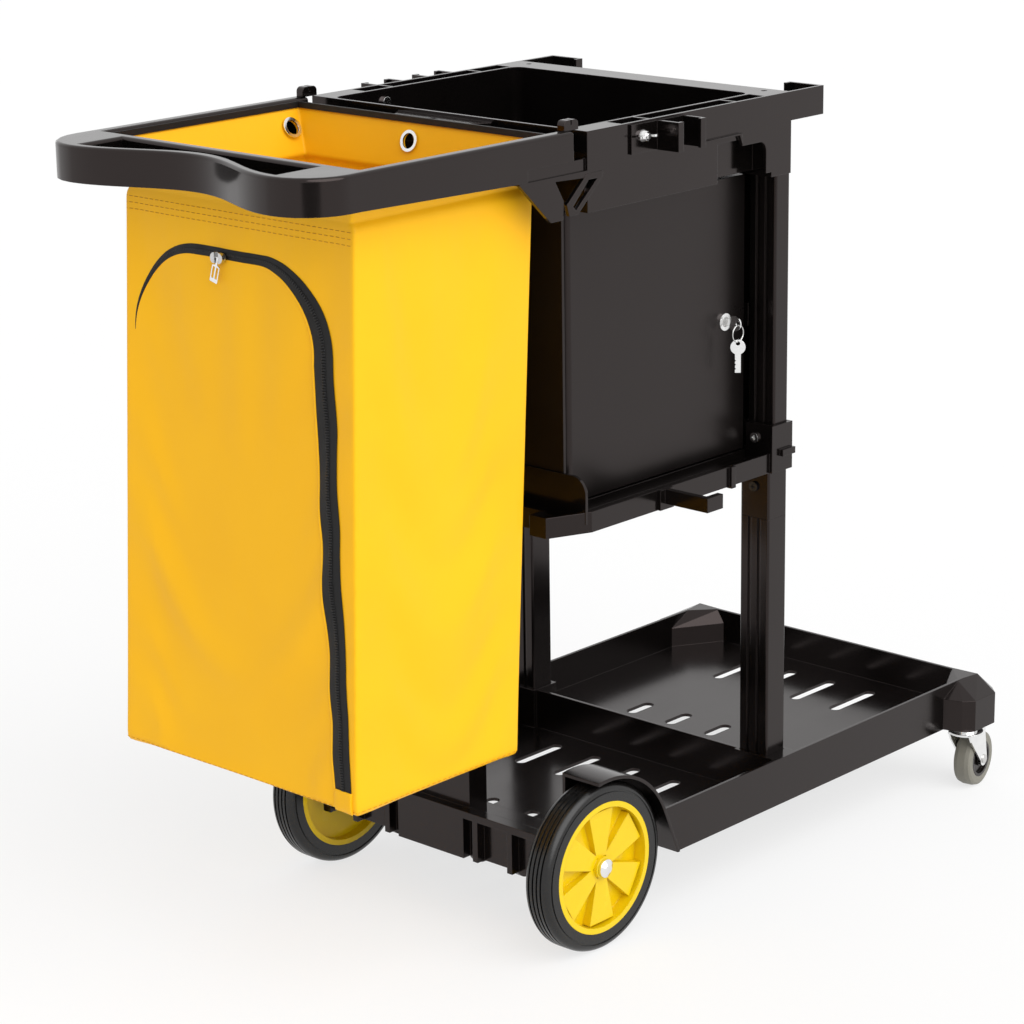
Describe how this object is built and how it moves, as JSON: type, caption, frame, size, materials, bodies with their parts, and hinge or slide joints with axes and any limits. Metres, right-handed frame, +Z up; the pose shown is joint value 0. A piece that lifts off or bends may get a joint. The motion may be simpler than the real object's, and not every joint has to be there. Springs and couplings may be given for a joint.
{
  "type": "janitor cart",
  "caption": "Wheeled janitor cart with a moulded tray base, swivel casters, middle shelf, lockable cabinet, top bin, tool holders and a handle frame carrying a zipped bag.",
  "frame": {"origin": "on the floor, under the middle of the cart's bounding box", "axes": "+X from the handle towards the casters, -Y is the side with the lockable door, +Z up"},
  "size_m": [1.1831, 0.563, 0.9755],
  "materials": {
    "black_plastic": "satin moulded black plastic",
    "yellow_plastic": "bright yellow moulded plastic",
    "yellow_vinyl": "coated vinyl cloth with a fine weave",
    "black_binding": "woven black tape",
    "tyre_rubber": "ribbed black rubber",
    "grey_rubber": "non-marking grey rubber",
    "zinc": "bright zinc plate",
    "steel": "turned steel"
  },
  "bodies": {
    "cart": {"base": "black_plastic", "rear_axle": "steel", "axle_spacers": "zinc", "axle_caps": "zinc", "caster_stem_near": "zinc", "caster_stem_far": "zinc", "lower_post_near": "black_plastic", "lower_post_far": "black_plastic", "upper_post_near": "black_plastic", "upper_post_far": "black_plastic", "lock_strike": "black_plastic", "mid_shelf": "black_plastic", "post_screws": "zinc", "shelf_hook_near": "black_plastic", "shelf_hook_far": "black_plastic", "cabinet_rear_panel": "black_plastic", "cabinet_front_panel": "black_plastic", "cabinet_far_panel": "black_plastic", "top_tray": "black_plastic", "tool_holder_near": "black_plastic", "tool_holder_far": "black_plastic", "holder_bolts": "zinc", "wing_nuts": "zinc", "bag_frame": "black_plastic", "frame_latches": "black_plastic", "bag": "yellow_vinyl", "bag_hem": "black_binding", "bag_eyelets": "zinc", "zipper_tape": "black_binding", "zipper_slider": "zinc"},
    "wheel_near": {"tyre_near": "tyre_rubber", "hub_near": "yellow_plastic"},
    "wheel_far": {"tyre_far": "tyre_rubber", "hub_far": "yellow_plastic"},
    "caster_near": {"caster_fork_near": "zinc", "caster_axle_near": "steel"},
    "caster_far": {"caster_fork_far": "zinc", "caster_axle_far": "steel"},
    "caster_wheel_near": {"caster_tread_near": "grey_rubber", "caster_core_near": "black_plastic"},
    "caster_wheel_far": {"caster_tread_far": "grey_rubber", "caster_core_far": "black_plastic"},
    "door_leaf": {"door": "black_plastic", "lock_barrel": "zinc", "lock_nut": "zinc"},
    "lock_core": {"lock_plug": "steel", "lock_cam": "zinc", "cabinet_key": "zinc"},
    "key_bunch": {"key_ring": "steel", "spare_key": "zinc"},
    "zip_pull": {"zipper_pull": "zinc"}
  },
  "joints": [
    {"name": "wheel_near_spin", "type": "hinge", "parent": "cart", "child": "wheel_near", "pos_m": [-0.166, -0.2105, 0.102], "axis": [0, 1, 0], "continuous": true},
    {"name": "wheel_far_spin", "type": "hinge", "parent": "cart", "child": "wheel_far", "pos_m": [-0.166, 0.2105, 0.102], "axis": [0, 1, 0], "continuous": true},
    {"name": "caster_near_swivel", "type": "hinge", "parent": "cart", "child": "caster_near", "pos_m": [0.532, -0.2525, 0.08], "axis": [0, 0, 1], "continuous": true},
    {"name": "caster_far_swivel", "type": "hinge", "parent": "cart", "child": "caster_far", "pos_m": [0.532, 0.2525, 0.08], "axis": [0, 0, 1], "continuous": true},
    {"name": "caster_near_roll", "type": "hinge", "parent": "caster_near", "child": "caster_wheel_near", "pos_m": [0.55577, -0.24916, 0.037], "axis": [-0.1392, 0.9903, 0], "continuous": true},
    {"name": "caster_far_roll", "type": "hinge", "parent": "caster_far", "child": "caster_wheel_far", "pos_m": [0.55577, 0.24916, 0.037], "axis": [0.1392, 0.9903, 0], "continuous": true},
    {"name": "door_swing", "type": "hinge", "parent": "cart", "child": "door_leaf", "pos_m": [-0.157, -0.1685, 0.7], "axis": [0, 0, -1], "range_deg": [0, 95]},
    {"name": "lock_turn", "type": "hinge", "parent": "door_leaf", "child": "lock_core", "pos_m": [0.115, -0.1765, 0.694], "axis": [0, 1, 0], "range_deg": [0, 90]},
    {"name": "key_swing", "type": "hinge", "parent": "lock_core", "child": "key_bunch", "pos_m": [0.115, -0.198, 0.69245], "axis": [1, 0, 0], "range_deg": [-60, 15]},
    {"name": "zip_pull_lift", "type": "hinge", "parent": "cart", "child": "zip_pull", "pos_m": [-0.50261, 0.022, 0.84435], "axis": [0, 1, 0], "range_deg": [0, 150]}
  ]
}
